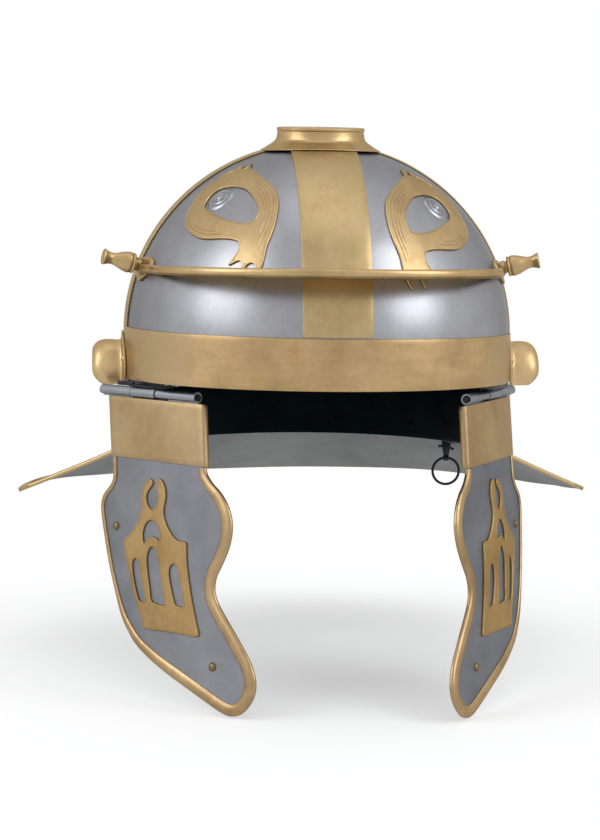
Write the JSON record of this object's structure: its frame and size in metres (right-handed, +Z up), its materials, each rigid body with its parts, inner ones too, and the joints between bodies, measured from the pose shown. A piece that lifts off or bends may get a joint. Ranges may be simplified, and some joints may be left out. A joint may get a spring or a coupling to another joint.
{
  "type": "helmet",
  "caption": "Raised steel helmet with brass trim, a brow guard, a wide neck guard, a crest socket, tie rings and hinged cheek pieces.",
  "frame": {"origin": "middle of the plane of the brow rim, where the wearer's head goes in", "axes": "+Z up through the crown, the face looks along -Y, +X to the wearer's left"},
  "size_m": [0.3178, 0.3054, 0.2854],
  "materials": {
    "steel": "satin, finely brushed sheet",
    "brass": "brushed, slightly mottled sheet",
    "dark_steel": "blackened wire and strip"
  },
  "bodies": {
    "helmet": {"bowl": "steel", "neck_guard": "steel", "neck_rivets": "brass", "neck_edging": "brass", "crown_strip": "brass", "side_strip_right": "brass", "side_strip_left": "brass", "brow_band": "brass", "crest_holder": "brass", "crest_rivet": "brass", "brow_guard": "brass", "finial_right": "brass", "finial_left": "brass", "eagle_right": "brass", "eagle_left": "brass", "ear_guard_right": "brass", "ear_guard_left": "brass", "ear_rivets": "brass", "hinge_mount_right": "steel", "hinge_mount_left": "steel", "hinge_pin_right": "dark_steel", "hinge_pin_left": "dark_steel", "ring_clip_right": "dark_steel", "ring_clip_left": "dark_steel"},
    "cheek_piece_right": {"hinge_leaf_right": "steel", "cheek_plate_right": "steel", "cheek_sheath_right": "brass", "cheek_edging_right": "brass", "temple_right": "brass", "cheek_rivets_right": "brass"},
    "cheek_piece_left": {"hinge_leaf_left": "steel", "cheek_plate_left": "steel", "cheek_sheath_left": "brass", "cheek_edging_left": "brass", "temple_left": "brass", "cheek_rivets_left": "brass"},
    "ring_right": {"tie_ring_right": "dark_steel"},
    "ring_left": {"tie_ring_left": "dark_steel"}
  },
  "joints": [
    {"name": "cheek_hinge_right", "type": "hinge", "parent": "helmet", "child": "cheek_piece_right", "pos_m": [-0.08864, -0.05161, -0.0046], "axis": [-0.6561, 0.7547, 0], "range_deg": [-15, 75]},
    {"name": "cheek_hinge_left", "type": "hinge", "parent": "helmet", "child": "cheek_piece_left", "pos_m": [0.08277, -0.05346, -0.0046], "axis": [-0.4924, -0.8704, 0], "range_deg": [-15, 75]},
    {"name": "ring_swing_right", "type": "hinge", "parent": "helmet", "child": "ring_right", "pos_m": [-0.08411, 0.07732, -0.05198], "axis": [1, 0, 0], "range_deg": [-50, 50]},
    {"name": "ring_swing_left", "type": "hinge", "parent": "helmet", "child": "ring_left", "pos_m": [0.08411, 0.07732, -0.05198], "axis": [1, 0, 0], "range_deg": [-50, 50]}
  ]
}
